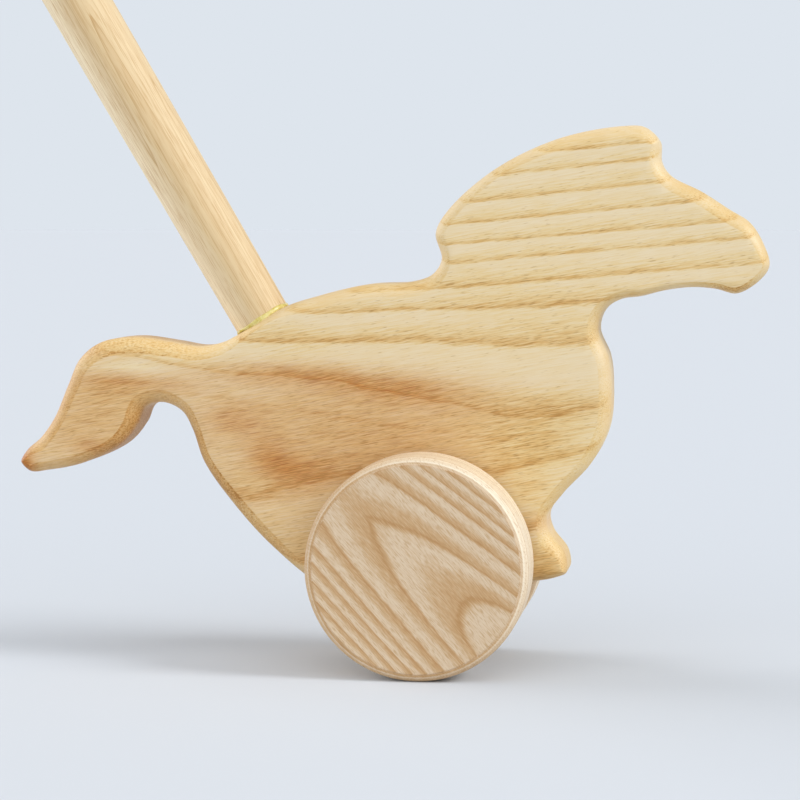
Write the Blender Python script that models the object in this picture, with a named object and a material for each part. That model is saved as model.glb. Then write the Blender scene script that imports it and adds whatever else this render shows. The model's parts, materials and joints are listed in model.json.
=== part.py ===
"""Push-along horse: a horse sawn from one board, a wheel set that turns in it and a stick to push it by.

Metres, +Z up. +X is towards the head and -Y is the horse's right side. Everything is drawn from the middle of
the axle. One empty then lifts the toy so that the wheels stand on Z = 0 and its length is centred on X = 0.
"""

import math

import bmesh
import bpy
import numpy as np
from mathutils import Matrix, Vector

MM = 0.001
GAP = 0.3 * MM  # left between pieces that are glued or that touch

# Horse, sawn from one board
BOARD_THICKNESS = 24 * MM
EDGE_ROUND = 5.5 * MM  # radius worked along every edge of both faces
EDGE_FACETS = 4
SPAN_STEPS = 3  # straight steps between two points of the outline

# Stick, slightly swollen at mid length, with a tenon at each end
SEAT = (-56.5, 78.9)  # where its axis leaves the back, mm forward of the axle and above it
STICK_LEAN = math.radians(30.5)  # back from upright, square to the back
STICK_FOOT_DIAMETER = 19.2 * MM
STICK_SWELL = 2 * MM  # added to the diameter at mid length
STICK_LENGTH = 430 * MM  # from the back to the knob
STICK_CHAMFER = 1.6 * MM
TENON_DIAMETER = 12 * MM
TENON_LENGTH = 30 * MM
KNOB_TENON_LENGTH = 20 * MM
KNOB_DIAMETER = 42 * MM
BEAD_WIDTH = 1.7 * MM
BEAD_HEIGHT = 1.55 * MM

# Wheel set
WHEEL_DIAMETER = 73.5 * MM
WHEEL_WIDTH = 22 * MM
WHEEL_ROUND = 2.75 * MM
WHEEL_STEP = 0.35 * MM  # the flat face stands this much above the rounded rim
AXLE_DIAMETER = 10 * MM
AXLE_BORE_CLEARANCE = 0.4 * MM  # on the radius, so that the axle turns freely
WHEEL_BORE_DEPTH = 15 * MM
SPACER_DIAMETER = 20 * MM
SPACER_THICKNESS = 1 * MM

WHEEL_OFFSET = BOARD_THICKNESS / 2 + SPACER_THICKNESS + 2 * GAP  # middle plane to a wheel's inner face

# Outline of the horse, clockwise seen from its right: mm forward of the axle and above it
TAIL_TOP = [
    (-140, 31), (-137.5, 35), (-132.5, 39), (-127.5, 46), (-122.5, 57.5), (-118.5, 66),
    (-111.5, 71.5), (-100, 73.5), (-87, 72), (-76.5, 70.5), (-69, 72),
]
BACK = [(-37, 87.5), (-20, 91.5), (-5, 92.5), (2, 95), (5, 100)]
MANE = [(3, 108.5), (7, 116), (22.5, 129.5), (43.5, 139.5), (64.5, 143.5)]
EAR = [(72, 143), (76.5, 138.5), (77, 132), (80, 127.5)]
FACE = [(90.5, 122), (99, 116.5), (106, 112), (110.5, 105), (112.5, 98)]
JAW = [(109, 93), (102, 89), (95, 90.5), (87.5, 91), (79, 90), (71, 88), (64.5, 87), (59, 83.5), (57, 77)]
CHEST = [(60.5, 68), (61.5, 58.5), (60.5, 44.5), (55, 33), (45.5, 22.5), (40.5, 15)]
HOOF = [(41.5, 9.5), (46.5, 2.5), (47, -3.5), (43, -5.5), (30.5, -8)]
BELLY = [(10, -14.5), (-14, -17.5), (-35, -10), (-52.5, 3.5), (-65.5, 17.5), (-75.5, 31.5)]
TAIL_ARCH = [(-79.5, 42.5), (-83, 48.5), (-89.5, 51.5), (-95.5, 50), (-98.5, 44)]
TAIL_UNDER = [(-104.5, 37), (-118, 30.5), (-130, 28), (-136.5, 27.5)]


def clear_scene():
    for obj in list(bpy.data.objects):
        bpy.data.objects.remove(obj, do_unlink=True)


def material(name, colour, roughness):
    """A plain finish from an sRGB colour."""
    made = bpy.data.materials.new(name)
    made.use_nodes = True
    shader = made.node_tree.nodes["Principled BSDF"]
    linear = [(c / 255 / 12.92) if c < 11 else ((c / 255 + 0.055) / 1.055) ** 2.4 for c in colour]
    shader.inputs["Base Color"].default_value = (*linear, 1)
    shader.inputs["Roughness"].default_value = roughness
    shader.inputs["Metallic"].default_value = 0
    return made


def empty(name, parent=None, location=(0, 0, 0)):
    made = bpy.data.objects.new(name, None)
    made.empty_display_size = 0.02
    made.parent = parent
    made.location = location
    bpy.context.collection.objects.link(made)
    return made


def solid(name, bm, finish, parent):
    """Turns a closed bmesh into a named object, shaded smooth except across its real edges."""
    bmesh.ops.recalc_face_normals(bm, faces=bm.faces)
    mesh = bpy.data.meshes.new(name)
    bm.to_mesh(mesh)
    bm.free()
    mesh.shade_smooth()
    mesh.set_sharp_from_angle(angle=math.radians(38))
    mesh.materials.append(finish)
    made = bpy.data.objects.new(name, mesh)
    made.parent = parent
    bpy.context.collection.objects.link(made)
    return made


def turned(name, profile, finish, parent, segments):
    """A solid turned on a lathe: (radius, height) points spun round the local Z axis."""
    bm = bmesh.new()
    points = [bm.verts.new((radius, 0, height)) for radius, height in profile]
    pairs = zip(points, points[1:] + points[:1])
    closed_on_axis = profile[0][0] == 0 and profile[-1][0] == 0
    lines = [bm.edges.new(pair) for pair in list(pairs)[: -1 if closed_on_axis else None]]
    bmesh.ops.spin(
        bm, geom=points + lines, cent=(0, 0, 0), axis=(0, 0, 1), angle=2 * math.pi, steps=segments, use_merge=True
    )
    bmesh.ops.remove_doubles(bm, verts=bm.verts, dist=1e-6)
    return solid(name, bm, finish, parent)


def arc(centre, radius, start, end, facets):
    """(radius, height) points of a profile's rounded corner, angles in degrees from the radial direction."""
    angles = np.radians(np.linspace(start, end, facets + 1))
    return [(centre[0] + radius * math.cos(a), centre[1] + radius * math.sin(a)) for a in angles]


def bore(body, name, location, direction, radius, length):
    """Cuts a round hole that starts at location and runs along direction."""
    bm = bmesh.new()
    bmesh.ops.create_cone(
        bm, cap_ends=True, segments=40, radius1=radius, radius2=radius, depth=length,
        matrix=Matrix.Translation((0, 0, length / 2)),
    )
    cutter = solid(name, bm, body.data.materials[0], body.parent)
    cutter.location = location
    cutter.rotation_euler = Vector(direction).to_track_quat("Z", "Y").to_euler()
    cutter.hide_render = True
    cutter.display_type = "WIRE"
    cut = body.modifiers.new(name, "BOOLEAN")
    cut.operation = "DIFFERENCE"
    cut.solver = "EXACT"
    cut.object = cutter


def stick_axis():
    """Where the stick's axis leaves the back, and its direction, from the middle of the axle."""
    return Vector((SEAT[0] * MM, 0, SEAT[1] * MM)), Vector((-math.sin(STICK_LEAN), 0, math.cos(STICK_LEAN)))


def horse_anchors():
    """The outline's points in metres, with the two ends of the stick's straight seat."""
    half = STICK_FOOT_DIAMETER / MM / 2
    along = np.array((math.cos(STICK_LEAN), math.sin(STICK_LEAN))) * half
    seat = [np.array(SEAT) - along, np.array(SEAT) + along]
    body = TAIL_TOP + seat + BACK + MANE + EAR + FACE + JAW + CHEST + HOOF + BELLY + TAIL_ARCH + TAIL_UNDER
    return np.array(body) * MM


def smooth_loop(anchors, steps):
    """A closed curve through the anchors: cubic spans whose slopes weigh each anchor's two neighbours by
    the square root of their distance."""
    after = np.roll(anchors, -1, axis=0)
    before = np.roll(anchors, 1, axis=0)
    knot = np.sqrt(np.linalg.norm(after - anchors, axis=1))[:, None]
    last = np.roll(knot, 1, axis=0)
    slope = ((anchors - before) / last * knot + (after - anchors) / knot * last) / (last + knot)
    t = np.linspace(0, 1, steps, endpoint=False)[None, :, None]
    start, end = (slope * knot)[:, None], (np.roll(slope, -1, axis=0) * knot)[:, None]
    span = (2 * t**3 - 3 * t**2 + 1) * anchors[:, None] + (3 * t**2 - 2 * t**3) * after[:, None]
    return (span + (t**3 - 2 * t**2 + t) * start + (t**3 - t**2) * end).reshape(-1, 2)


def inward(loop):
    """Unit normals that point into the wood."""
    along = np.roll(loop, -1, axis=0) - np.roll(loop, 1, axis=0)
    normal = np.stack([along[:, 1], -along[:, 0]], axis=1)
    return normal / np.linalg.norm(normal, axis=1, keepdims=True)


def round_width(loop, normal):
    """How far the rounded edge reaches in from each outline point: its radius, or less where the wood is narrow.

    A ball that touches the outline at one point and meets another point at distance d, in a direction at
    height n along the normal, has the radius d * d / 2 n. The edge reaches 0.8 of the smallest such ball.
    """
    between = loop[None] - loop[:, None]
    height = np.einsum("ijk,ik->ij", between, normal)
    ball = np.where(height > 1e-7, (between**2).sum(axis=2) / np.maximum(2 * height, 1e-7), np.inf)
    width = np.minimum(EDGE_ROUND, 0.8 * ball.min(axis=1))
    apart = np.linalg.norm(between, axis=2)
    return (width[None] + 0.4 * apart).min(axis=1)


def horse_body(finish, parent):
    loop = smooth_loop(horse_anchors(), SPAN_STEPS)
    normal = inward(loop)
    width = round_width(loop, normal)[:, None]
    half = BOARD_THICKNESS / 2 - EDGE_ROUND
    turns = np.linspace(0, math.pi / 2, EDGE_FACETS + 1)
    section = [(1 - math.cos(a), -half - EDGE_ROUND * math.sin(a)) for a in turns[::-1]]
    section += [(1 - math.cos(a), half + EDGE_ROUND * math.sin(a)) for a in turns]
    bm = bmesh.new()
    rings = []
    for share, y in section:
        ring = loop + normal * width * share
        rings.append([bm.verts.new((x, y, z)) for x, z in ring])
    for near, far in zip(rings, rings[1:]):
        for i in range(len(near)):
            bm.faces.new((near[i - 1], near[i], far[i], far[i - 1]))
    bm.faces.new(rings[0])
    bm.faces.new(rings[-1][::-1])
    body = solid("horse_body", bm, finish, parent)

    width_cut = BOARD_THICKNESS + 20 * MM
    axle_bore = AXLE_DIAMETER / 2 + AXLE_BORE_CLEARANCE
    bore(body, "axle_bore_cutter", (0, -width_cut / 2, 0), (0, 1, 0), axle_bore, width_cut)
    seat, up = stick_axis()
    start = seat + up * 10 * MM
    socket = TENON_DIAMETER / 2 + GAP
    bore(body, "stick_socket_cutter", start, -up, socket, TENON_LENGTH + 10 * MM + GAP)
    return body


def stick_radius(height):
    """Slim at both ends, fuller at mid length."""
    return (STICK_FOOT_DIAMETER + STICK_SWELL * math.sin(math.pi * height / STICK_LENGTH)) / 2


def along_stick(made):
    """Places a turned piece with its local Z up the stick and its origin on the back."""
    made.location, up = stick_axis()
    made.rotation_euler = up.to_track_quat("Z", "Y").to_euler()


def push_stick(finish, parent):
    tenon = TENON_DIAMETER / 2
    shoulder = 0.5 * MM
    foot = stick_radius(0)
    heights = np.linspace(shoulder + STICK_CHAMFER, STICK_LENGTH, 15)
    profile = [(0, -TENON_LENGTH), (tenon - 1 * MM, -TENON_LENGTH), (tenon, 1 * MM - TENON_LENGTH)]
    profile += [(tenon, shoulder), (foot - STICK_CHAMFER, shoulder)]
    profile += [(stick_radius(h), h) for h in heights]
    end = STICK_LENGTH + KNOB_TENON_LENGTH
    profile += [(tenon, STICK_LENGTH), (tenon, end - 1 * MM), (tenon - 1 * MM, end), (0, end)]
    along_stick(turned("push_stick", profile, finish, parent, 36))


def stick_glue_bead(finish, parent):
    """A ring of squeezed-out glue in the groove between the stick's chamfered foot and the back."""
    inner = STICK_FOOT_DIAMETER / 2 - STICK_CHAMFER + 0.75 * MM
    outer = inner + BEAD_WIDTH
    low = 0.45 * MM
    profile = [
        (inner, low), (outer, low), (outer + 0.1 * MM, low + 0.4 * BEAD_HEIGHT),
        (outer - 0.15 * MM, low + 0.8 * BEAD_HEIGHT), (outer - 0.5 * MM, low + BEAD_HEIGHT),
    ]
    along_stick(turned("stick_glue_bead", profile, finish, parent, 36))


def knob_centre_height():
    """Distance from the back to the ball's centre: a flat under the ball sits on the stick's upper end."""
    flat = stick_radius(STICK_LENGTH) + 0.5 * MM
    return STICK_LENGTH + GAP + math.sqrt((KNOB_DIAMETER / 2) ** 2 - flat**2)


def hand_knob(finish, parent):
    centre = knob_centre_height()
    base = STICK_LENGTH + GAP
    hole = TENON_DIAMETER / 2 + GAP
    start = -math.degrees(math.asin((centre - base) / (KNOB_DIAMETER / 2)))
    profile = [(0, base + KNOB_TENON_LENGTH), (hole, base + KNOB_TENON_LENGTH), (hole, base)]
    profile += arc((0, centre), KNOB_DIAMETER / 2, start, 90, 14)[:-1]
    profile += [(0, centre + KNOB_DIAMETER / 2)]
    along_stick(turned("hand_knob", profile, finish, parent, 36))


def on_axle(made, side, distance):
    """Turns a lathe piece so that its local Z points out from the middle plane, on the side given as -1 or 1."""
    made.location = (0, side * distance, 0)
    made.rotation_euler = (-side * math.pi / 2, 0, 0)


def wheel(name, side, finish, parent):
    """A disc with its face raised a little above the rounded rim, and a blind bore on the inner side."""
    rim = WHEEL_DIAMETER / 2
    face = rim - WHEEL_ROUND
    hole = AXLE_DIAMETER / 2 + GAP
    low, high = WHEEL_STEP, WHEEL_WIDTH - WHEEL_STEP
    profile = [(0, WHEEL_BORE_DEPTH), (hole, WHEEL_BORE_DEPTH), (hole, 0), (face, 0)]
    profile += arc((face, low + WHEEL_ROUND), WHEEL_ROUND, -90, 0, 4)
    profile += arc((face, high - WHEEL_ROUND), WHEEL_ROUND, 0, 90, 4)
    profile += [(face, WHEEL_WIDTH), (0, WHEEL_WIDTH)]
    on_axle(turned(name, profile, finish, parent, 64), side, WHEEL_OFFSET)


def spacer(name, side, finish, parent):
    hole = AXLE_DIAMETER / 2 + GAP
    rim = SPACER_DIAMETER / 2
    profile = [(hole, 0), (rim, 0), (rim, SPACER_THICKNESS), (hole, SPACER_THICKNESS)]
    on_axle(turned(name, profile, finish, parent, 40), side, BOARD_THICKNESS / 2 + GAP)


def axle(finish, parent):
    half = WHEEL_OFFSET + WHEEL_BORE_DEPTH - GAP
    radius = AXLE_DIAMETER / 2
    bevel = 0.8 * MM
    profile = [(0, -half), (radius - bevel, -half), (radius, bevel - half)]
    profile += [(radius, half - bevel), (radius - bevel, half), (0, half)]
    on_axle(turned("axle", profile, finish, parent, 40), 1, 0)


def main():
    clear_scene()
    ash = material("oiled ash board", (222, 182, 126), 0.45)
    birch = material("bare birch stick", (224, 196, 152), 0.6)
    pale_ash = material("bare ash wheel", (216, 186, 148), 0.6)
    beech = material("beech dowel", (214, 178, 138), 0.6)
    glue = material("yellow wood glue", (226, 190, 92), 0.3)
    card = material("vulcanised fibre washer", (120, 72, 52), 0.7)

    seat, up = stick_axis()
    front = smooth_loop(horse_anchors(), SPAN_STEPS)[:, 0].max()
    rear = (seat + up * knob_centre_height()).x - KNOB_DIAMETER / 2
    toy = empty("toy", location=(-(front + rear) / 2, 0, WHEEL_DIAMETER / 2))
    horse_body(ash, toy)
    push_stick(birch, toy)
    stick_glue_bead(glue, toy)
    hand_knob(birch, toy)

    wheel_set = empty("wheel_set", parent=toy)
    axle(beech, wheel_set)
    for side_name, side in (("right", -1), ("left", 1)):
        wheel(f"wheel_{side_name}", side, pale_ash, wheel_set)
        spacer(f"spacer_{side_name}", side, card, wheel_set)


main()
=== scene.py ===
"""Push-along horse, finished for the picture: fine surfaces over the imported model, wood, light
and camera.

Every surface is worked out in metres from the middle of the axle and then moved to where the axle
is in the row frame.
"""

import json
import math

import bmesh
import bpy
import numpy as np
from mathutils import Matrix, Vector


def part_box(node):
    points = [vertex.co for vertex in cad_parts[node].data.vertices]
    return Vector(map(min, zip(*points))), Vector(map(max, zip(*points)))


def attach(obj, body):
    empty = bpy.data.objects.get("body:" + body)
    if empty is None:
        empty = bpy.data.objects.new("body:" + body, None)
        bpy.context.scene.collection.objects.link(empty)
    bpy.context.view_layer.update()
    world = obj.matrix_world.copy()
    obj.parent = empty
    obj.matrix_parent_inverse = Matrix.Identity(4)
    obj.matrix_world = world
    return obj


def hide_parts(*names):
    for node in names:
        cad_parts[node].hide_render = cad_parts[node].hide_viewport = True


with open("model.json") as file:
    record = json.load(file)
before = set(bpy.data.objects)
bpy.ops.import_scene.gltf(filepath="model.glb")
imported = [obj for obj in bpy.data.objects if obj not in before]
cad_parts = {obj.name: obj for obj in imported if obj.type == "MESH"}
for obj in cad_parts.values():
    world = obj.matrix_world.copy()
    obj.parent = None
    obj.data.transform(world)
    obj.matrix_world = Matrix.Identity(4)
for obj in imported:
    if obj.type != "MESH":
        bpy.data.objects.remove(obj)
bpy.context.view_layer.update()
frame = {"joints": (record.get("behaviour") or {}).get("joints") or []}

MM = 0.001
NEAR = 1e-7  # distance in metres that counts as none
CRISP = math.radians(38)  # edges that turn by more than this stay crisp
AXLE = np.array(frame["joints"][0]["pos_m"], float)  # its middle in the row frame


def extent(node):
    """Size of a CAD node along the three axes."""
    low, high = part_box(node)
    return np.array(high) - np.array(low)


# Sizes that the frame gives
BOARD = extent("horse_body")[1]
WHEEL_RADIUS = extent("wheel_right")[0] / 2
WHEEL_WIDTH = extent("wheel_right")[1]
WHEEL_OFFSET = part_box("wheel_left")[0][1]  # middle plane to a wheel's inner face
AXLE_RADIUS = extent("axle")[0] / 2
AXLE_LENGTH = extent("axle")[1]
SPACER_RADIUS = extent("spacer_right")[0] / 2
SPACER_THICKNESS = extent("spacer_right")[1]

# Horse: outline in mm forward of the axle and above it, clockwise seen from the horse's right
TAIL_TOP = [
    (-139, 31), (-137, 35), (-132.5, 39), (-127.5, 46), (-122.5, 57.5), (-118.5, 66),
    (-111.5, 71.5), (-100, 73.5), (-87, 72), (-76.5, 70.5), (-69, 72),
]
BACK = [(-37, 87.5), (-20, 91.5), (-5, 92.5), (2, 95), (5, 100)]
MANE = [(3, 108.5), (7, 116), (22.5, 129.5), (43.5, 139.5), (64.5, 143.5)]
EAR = [(72, 143), (76.5, 138.5), (77, 132), (80, 127.5)]
FACE = [(90.5, 122), (99, 116.5), (106, 112), (110.5, 105), (112.4, 98)]
JAW = [
    (109, 93), (102, 89), (95, 90.5), (87.5, 91), (79, 90), (71, 88), (64.5, 87), (59, 83.5),
    (57, 77),
]
CHEST = [(60.5, 68), (61.5, 58.5), (60.5, 44.5), (55, 33), (45.5, 22.5), (40.5, 15)]
HOOF = [(41.5, 9.5), (46.5, 2.5), (47, -3.5), (43, -5.5), (30.5, -8)]
BELLY = [(10, -14.5), (-14, -17.5), (-35, -10), (-52.5, 3.5), (-65.5, 17.5), (-75.5, 31.5)]
TAIL_ARCH = [(-79.5, 42.5), (-83, 48.5), (-89.5, 51.5), (-95.5, 50), (-98.5, 44)]
TAIL_UNDER = [(-104.5, 37), (-118, 30.5), (-130, 28), (-136, 27.6)]

# Rounded edge of the board
EDGE_ROUND = 5.5 * MM
EDGE_SWEEP = 80  # degrees of arc; less than 90 leaves a faint line where the edge meets the face
EDGE_STEPS = 13  # points along the arc
FLAT = BOARD / 2 - EDGE_ROUND  # middle plane to where the edge starts to round
EDGE_SHARE = 0.62  # of EDGE_ROUND, by which the edge reaches into the face
EDGE_SHARE_UP = 0.24  # added where the edge looks up
EDGE_OF_BALL = 0.8  # largest share of the ball that fits into the wood there
EDGE_CHANGE = 0.3  # largest change of the reach along the outline

# Stick, glue and knob
SEAT = (-56.5, 78.9)  # middle of the stick's foot, in mm forward of the axle and above it
STICK_LEAN = math.radians(30.5)  # backwards from upright
STICK_SEAT = np.array((SEAT[0], 0, SEAT[1])) * MM
STICK_UP = np.array((-math.sin(STICK_LEAN), 0, math.cos(STICK_LEAN)))
STICK_AHEAD = np.array((math.cos(STICK_LEAN), 0, math.sin(STICK_LEAN)))  # square to the stick
STICK_FOOT = 9.6 * MM  # radius
STICK_SWELL = 1 * MM  # added to the radius half way up
STICK_LENGTH = 430 * MM
STICK_SHOULDER = 0.5 * MM  # height of the foot above the seat
STICK_CHAMFER = 0.5 * MM
# The paleness added towards the rear and the front is partly sapwood and partly painted light from
# the left and right lamps
STICK_PALE = 0.15  # sapwood in the middle of the stick
STICK_PALE_REAR = 1.05  # added towards the rear
STICK_PALE_FRONT = 0.3  # added towards the front
TENON_RADIUS = 6 * MM
TENON_LENGTH = 30 * MM
TENON_BEVEL = 1 * MM
BEAD_TOP, BEAD_WIDTH = 1.3, 0.4  # mean height of the glue above the seat and half width, in mm
BEAD_FOOT = 0.12 * MM  # clearance under the glue
BEAD_OUT = 0.3 * MM  # past the stick, where the glue's foot meets the back
KNOB_TENON = 20 * MM
KNOB_RADIUS = 20.9 * MM
KNOB_SHOULDER = 0.5 * MM  # by which the knob's flat stands out past the stick
KNOB_PALE = 0.4  # sapwood of the knob
GAP = 0.3 * MM  # clearance of the spacers, and in place of a film of glue
AXLE_PLAY = 0.4 * MM  # between the axle and its bore

# Wheel
WHEEL_ROUND = 2.75 * MM
WHEEL_STEP = 0.35 * MM  # by which the flat faces stand above the rounded rim
WHEEL_BORE_DEPTH = 15 * MM

# Growth rings of the board: each one's lower edge on the right face, in mm forward of the axle and
# above it
BOARD_RINGS = [
    [(-150, -66), (120, -28)],
    [(-150, -42), (120, -4)],
    [(-150, -18), (20, 8), (37, 13), (60, 17), (120, 26)],
    [
        (-150, 6), (-57, 21.8), (-44.6, 24.9), (-32, 28.6), (-26, 29), (23, 29.9), (32, 32.4),
        (52, 37.8), (120, 49),
    ],
    [(-150, 56), (-113, 57.4), (-82, 56.3), (-50, 51), (0, 43.5), (25, 41), (60, 46), (120, 55)],
    [
        (-150, 72), (-106, 68), (-97.6, 67.6), (-87.7, 65), (-79.4, 63.6), (-72.8, 62.6),
        (-64.5, 61.6), (-46.5, 61.4), (-39.3, 60.8), (-29, 60.4), (-25, 59.2), (-19.8, 57.2),
        (-9.9, 56), (-3.2, 55), (3.4, 53.6), (16.6, 51), (25, 48.6), (34, 47.4), (44, 48.4),
        (60, 52), (120, 62),
    ],
    [(-150, 78), (-54, 72.6), (0, 73.6), (30, 72.4), (54, 73), (120, 76)],
    [(-150, 84), (-33, 82.6), (-6.6, 84), (16.6, 83.8), (56.4, 86.4), (120, 91)],
    [(-150, 78), (120, 99.8)],
    [(-150, 85.5), (120, 108.5)],
    [(-150, 91.2), (120, 114.2)],
    [(-150, 95.7), (120, 122.2)],
    [(-150, 103.3), (120, 128.9)],
    [(-150, 109.3), (120, 137.6)],
    [(-150, 120.8), (120, 141)],
    [(-150, 125.5), (120, 149.8)],
    [(-150, 132.5), (120, 156.8)],
]
FIRST_RING = -3  # number of the first ring in the list
RING_LEAST = 0.01  # mm that a ring is thick at least
RING_RISE = 0.12  # share of a ring in which its dark line comes up
TREE_HEART = (60, -25)  # mm behind the board's middle, seen from the right, and above the axle

# Early wood of the board, from each listed ring up to the next: how far up a ring it fades, how
# golden it starts and how brown
EARLY_WOOD = {
    -3: (0.4, 0.3, 0.1),
    0: (0.4, 0.26, 0.06),
    1: (0.3, 0.05, 0.05),
    2: (0.55, 0.22, 0.1),
    3: (0.75, 0.36, 0.06),
    4: (0.85, 0.39, 0.04),
    5: (0.8, 0.37, 0.0),
}

# Soft spots on the board: mm forward of the axle and above it, half widths and strength.
# In turn the brown of the heart, brown that licks up from a ring, gold on the faces, honey on the
#  edges with painted shade under the jaw, and edges that the maker's hand rounded more or less than
#  the rest
HEART_SPOTS = [
    (-22, 36, 75, 60, 0.43), (-118, 46, 30, 30, 0.3), (-64, 46, 10, 5, 0.36),
    (-54, 35, 9, 6, 0.32), (-45, 30, 12, 5, 0.36), (-65, 37, 5, 6, -0.06),
    (-60, 30, 6, 6, -0.12), (-54, 25, 7, 3.5, -0.1), (-100, 64, 14, 2.6, -0.3),
    (-104, 59, 12, 2.2, 0.4), (-85, 57.5, 12, 2, 0.2), (-113, 36.5, 6, 2, 0.3),
    (-138, 30, 4.5, 5, 1), (40, 14, 30, 12, -0.3), (37, 13, 6, 4, 0.5), (38, 38, 26, 14, -0.28),
]
TONGUE_SPOTS = [(-8, 60, 36, 10, 1), (-52, 63, 22, 6, 0.5)]
GOLD_SPOTS = [
    (34, 40, 20, 11, 0.33), (46, 51, 16, 5, 0.2), (44, 77, 16, 5, 0.08), (38, -1, 9, 8.5, 0.45),
    (30, 86, 34, 12, 0.08), (-45, 6, 22, 12, 0.12), (-24, 40, 50, 22, 0.17),
    (-118, 46, 22, 16, 0.15), (34, 23, 9, 6, 0.2), (-46, 73, 14, 4, 0.14), (-103, 54, 14, 8, 0.1),
]
# The spot at 100 mm forward and 90 mm up, under the jaw, is painted shade
HONEY_AND_SHADE_SPOTS = [
    (-104, 70, 34, 9, 0.32), (-102, 38, 20, 11, 0.42), (-66, 22, 22, 28, 0.4),
    (-136, 30, 6, 6, 0.3), (94, 119, 16, 9, 0.12), (100, 90, 9, 5, 0.5), (47, 1, 6, 8, 0.08),
]
SEAT_EDGE = -0.4  # under the stick
EDGE_SPOTS = [
    (60, 55, 12, 25, 0.16), (46, 0, 8, 10, 0.3), (-112, 62, 24, 18, 0.25),
    (-56, 79, 15, 12, SEAT_EDGE), (-92, 47, 10, 8, 0.2), (86, 89, 30, 8, -0.3),
    (112, 100, 9, 10, -0.15), (28, 128, 22, 16, -0.2), (-60, 10, 24, 24, 0.2),
]

# Growth rings of the wheel: their radii in mm, the tree's heart behind the face, and the arches
WHEEL_RINGS = [
    0, 3, 6, 9, 12, 15, 18, 21, 24.5, 28.7, 34.6, 39.5, 42.9, 45.4, 48.1, 50.7, 53.2, 55.7, 58.2,
]
WHEEL_RISE = 0.1  # share of a ring in which its dark line comes up
WHEEL_HEART = 34.6 * MM  # depth of the heart below the face, WHEEL_HEART_BACK from the axle
WHEEL_HEART_BACK = 22.9 * MM
HEART_SLOPE = 0.142  # by which the heart nears the face along the middle line of the arches
SLOPE_LOSS = 0.05  # taken off it beside that line, from SLOPE_WIDTH to twice as far out
SLOPE_WIDTH = 8  # mm
ARCH_POINT = 12 * MM  # how far the outer arches are drawn to a point
ARCH_START = 29 * MM  # radius from which they are
ARCH_BLEND = 3.5 * MM  # over which the point comes in
RIM_START = 0.05 * MM  # past the flat face
# The rim is painted paler towards the side that the right lamp lights
RIM_PALE = 0.1  # painted light on the rim at right angles to its palest side, which has 1
LIT_RIM_SIDE = 38  # degrees from forward towards up, where the rim is palest: painted light from the right lamp

# Fibre directions, in degrees from forward towards up
BOARD_GRAIN = 9
WHEEL_GRAIN = -46
WHEEL_LEAN = -42  # way in which the arches of the wheel point

# Camera: mm from the axle, and degrees that it looks down and is turned to the left
CAMERA_PLACE = (107.87, -823.11, 111.63)
CAMERA_DIP = 4.064
CAMERA_TURN = 8.146


def skin(rows, round_rows=False):
    """Vertices and faces of a grid of points that closes along its second direction.

    It closes along its first one too if round_rows is set. If not, a first or last row whose
    points all meet becomes one vertex, with triangles round it.
    """
    count, across = rows.shape[:2]
    number = np.arange(count * across).reshape(count, across)
    if not round_rows:
        for end in (0, -1):
            if np.ptp(rows[end], axis=0).max() < NEAR:
                number[end] = number[end, 0]
    used, flat = np.unique(number, return_inverse=True)
    number = flat.reshape(count, across)
    low = number if round_rows else number[:-1]
    high = np.roll(number, -1, axis=0) if round_rows else number[1:]
    corners = [low, np.roll(low, -1, axis=1), np.roll(high, -1, axis=1), high]
    quads = np.stack(corners, axis=2).reshape(-1, 4)
    flat_low = quads[:, 0] == quads[:, 1]
    flat_high = quads[:, 2] == quads[:, 3]
    faces = quads[~flat_low & ~flat_high].tolist() + quads[flat_low][:, [0, 2, 3]].tolist()
    faces += quads[flat_high & ~flat_low][:, [0, 1, 2]].tolist()
    return rows.reshape(-1, 3)[used], faces


def shade(mesh):
    """Shades a mesh smooth, except along its crisp edges."""
    mesh.shade_smooth()
    mesh.set_sharp_from_angle(angle=CRISP)


def mesh_of(name, points, faces):
    """Shaded mesh of vertices and faces."""
    mesh = bpy.data.meshes.new(name)
    mesh.from_pydata(points.tolist(), [], faces)
    shade(mesh)
    return mesh


def into_scene(name, data):
    """New object in the scene for a mesh, a lamp or a camera."""
    made = bpy.data.objects.new(name, data)
    bpy.context.scene.collection.objects.link(made)
    return made


def positions(mesh):
    """Place of each vertex."""
    found = np.empty(len(mesh.vertices) * 3)
    mesh.vertices.foreach_get("co", found)
    return found.reshape(-1, 3)


def facing(mesh):
    """Direction that each vertex of the surface looks in."""
    found = np.empty(len(mesh.vertices) * 3, np.float32)
    mesh.vertex_normals.foreach_get("vector", found)
    return found.reshape(-1, 3)


def lay(mesh, name, values):
    """Stores one number per vertex, for the finish to read."""
    stored = mesh.attributes.new(name, "FLOAT", "POINT")
    stored.data.foreach_set("value", values.astype(np.float32))


def place(mesh, body, nodes, finish):
    """Moves a mesh from the axle to the row frame and makes it the finished piece of CAD nodes."""
    moved = positions(mesh) + AXLE
    mesh.vertices.foreach_set("co", moved.astype(np.float32).ravel())
    mesh.update()
    mesh.materials.append(finish)
    piece = into_scene(mesh.name, mesh)
    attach(piece, body)
    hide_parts(*nodes)


def turned(profile, origin, axis, segments):
    """Grid of a turned surface: each (radius, height) point of a profile carried round the axis."""
    axis = np.array(axis, float) / np.linalg.norm(axis)
    along_y = abs(axis[1]) > 0.9
    side = np.cross(axis, (1, 0, 0) if along_y else (0, 1, 0))
    side /= np.linalg.norm(side)
    other = np.cross(axis, side)
    turn = np.linspace(0, 2 * math.pi, segments, endpoint=False)
    ring = np.cos(turn)[:, None] * side + np.sin(turn)[:, None] * other
    radius, height = np.array(profile, float).T[:, :, None, None]
    return np.array(origin) + radius * ring + height * axis


def line(start, end, steps):
    """Points of a straight stretch of a profile, without its last one."""
    return np.linspace(start, end, steps, endpoint=False).tolist()


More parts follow.
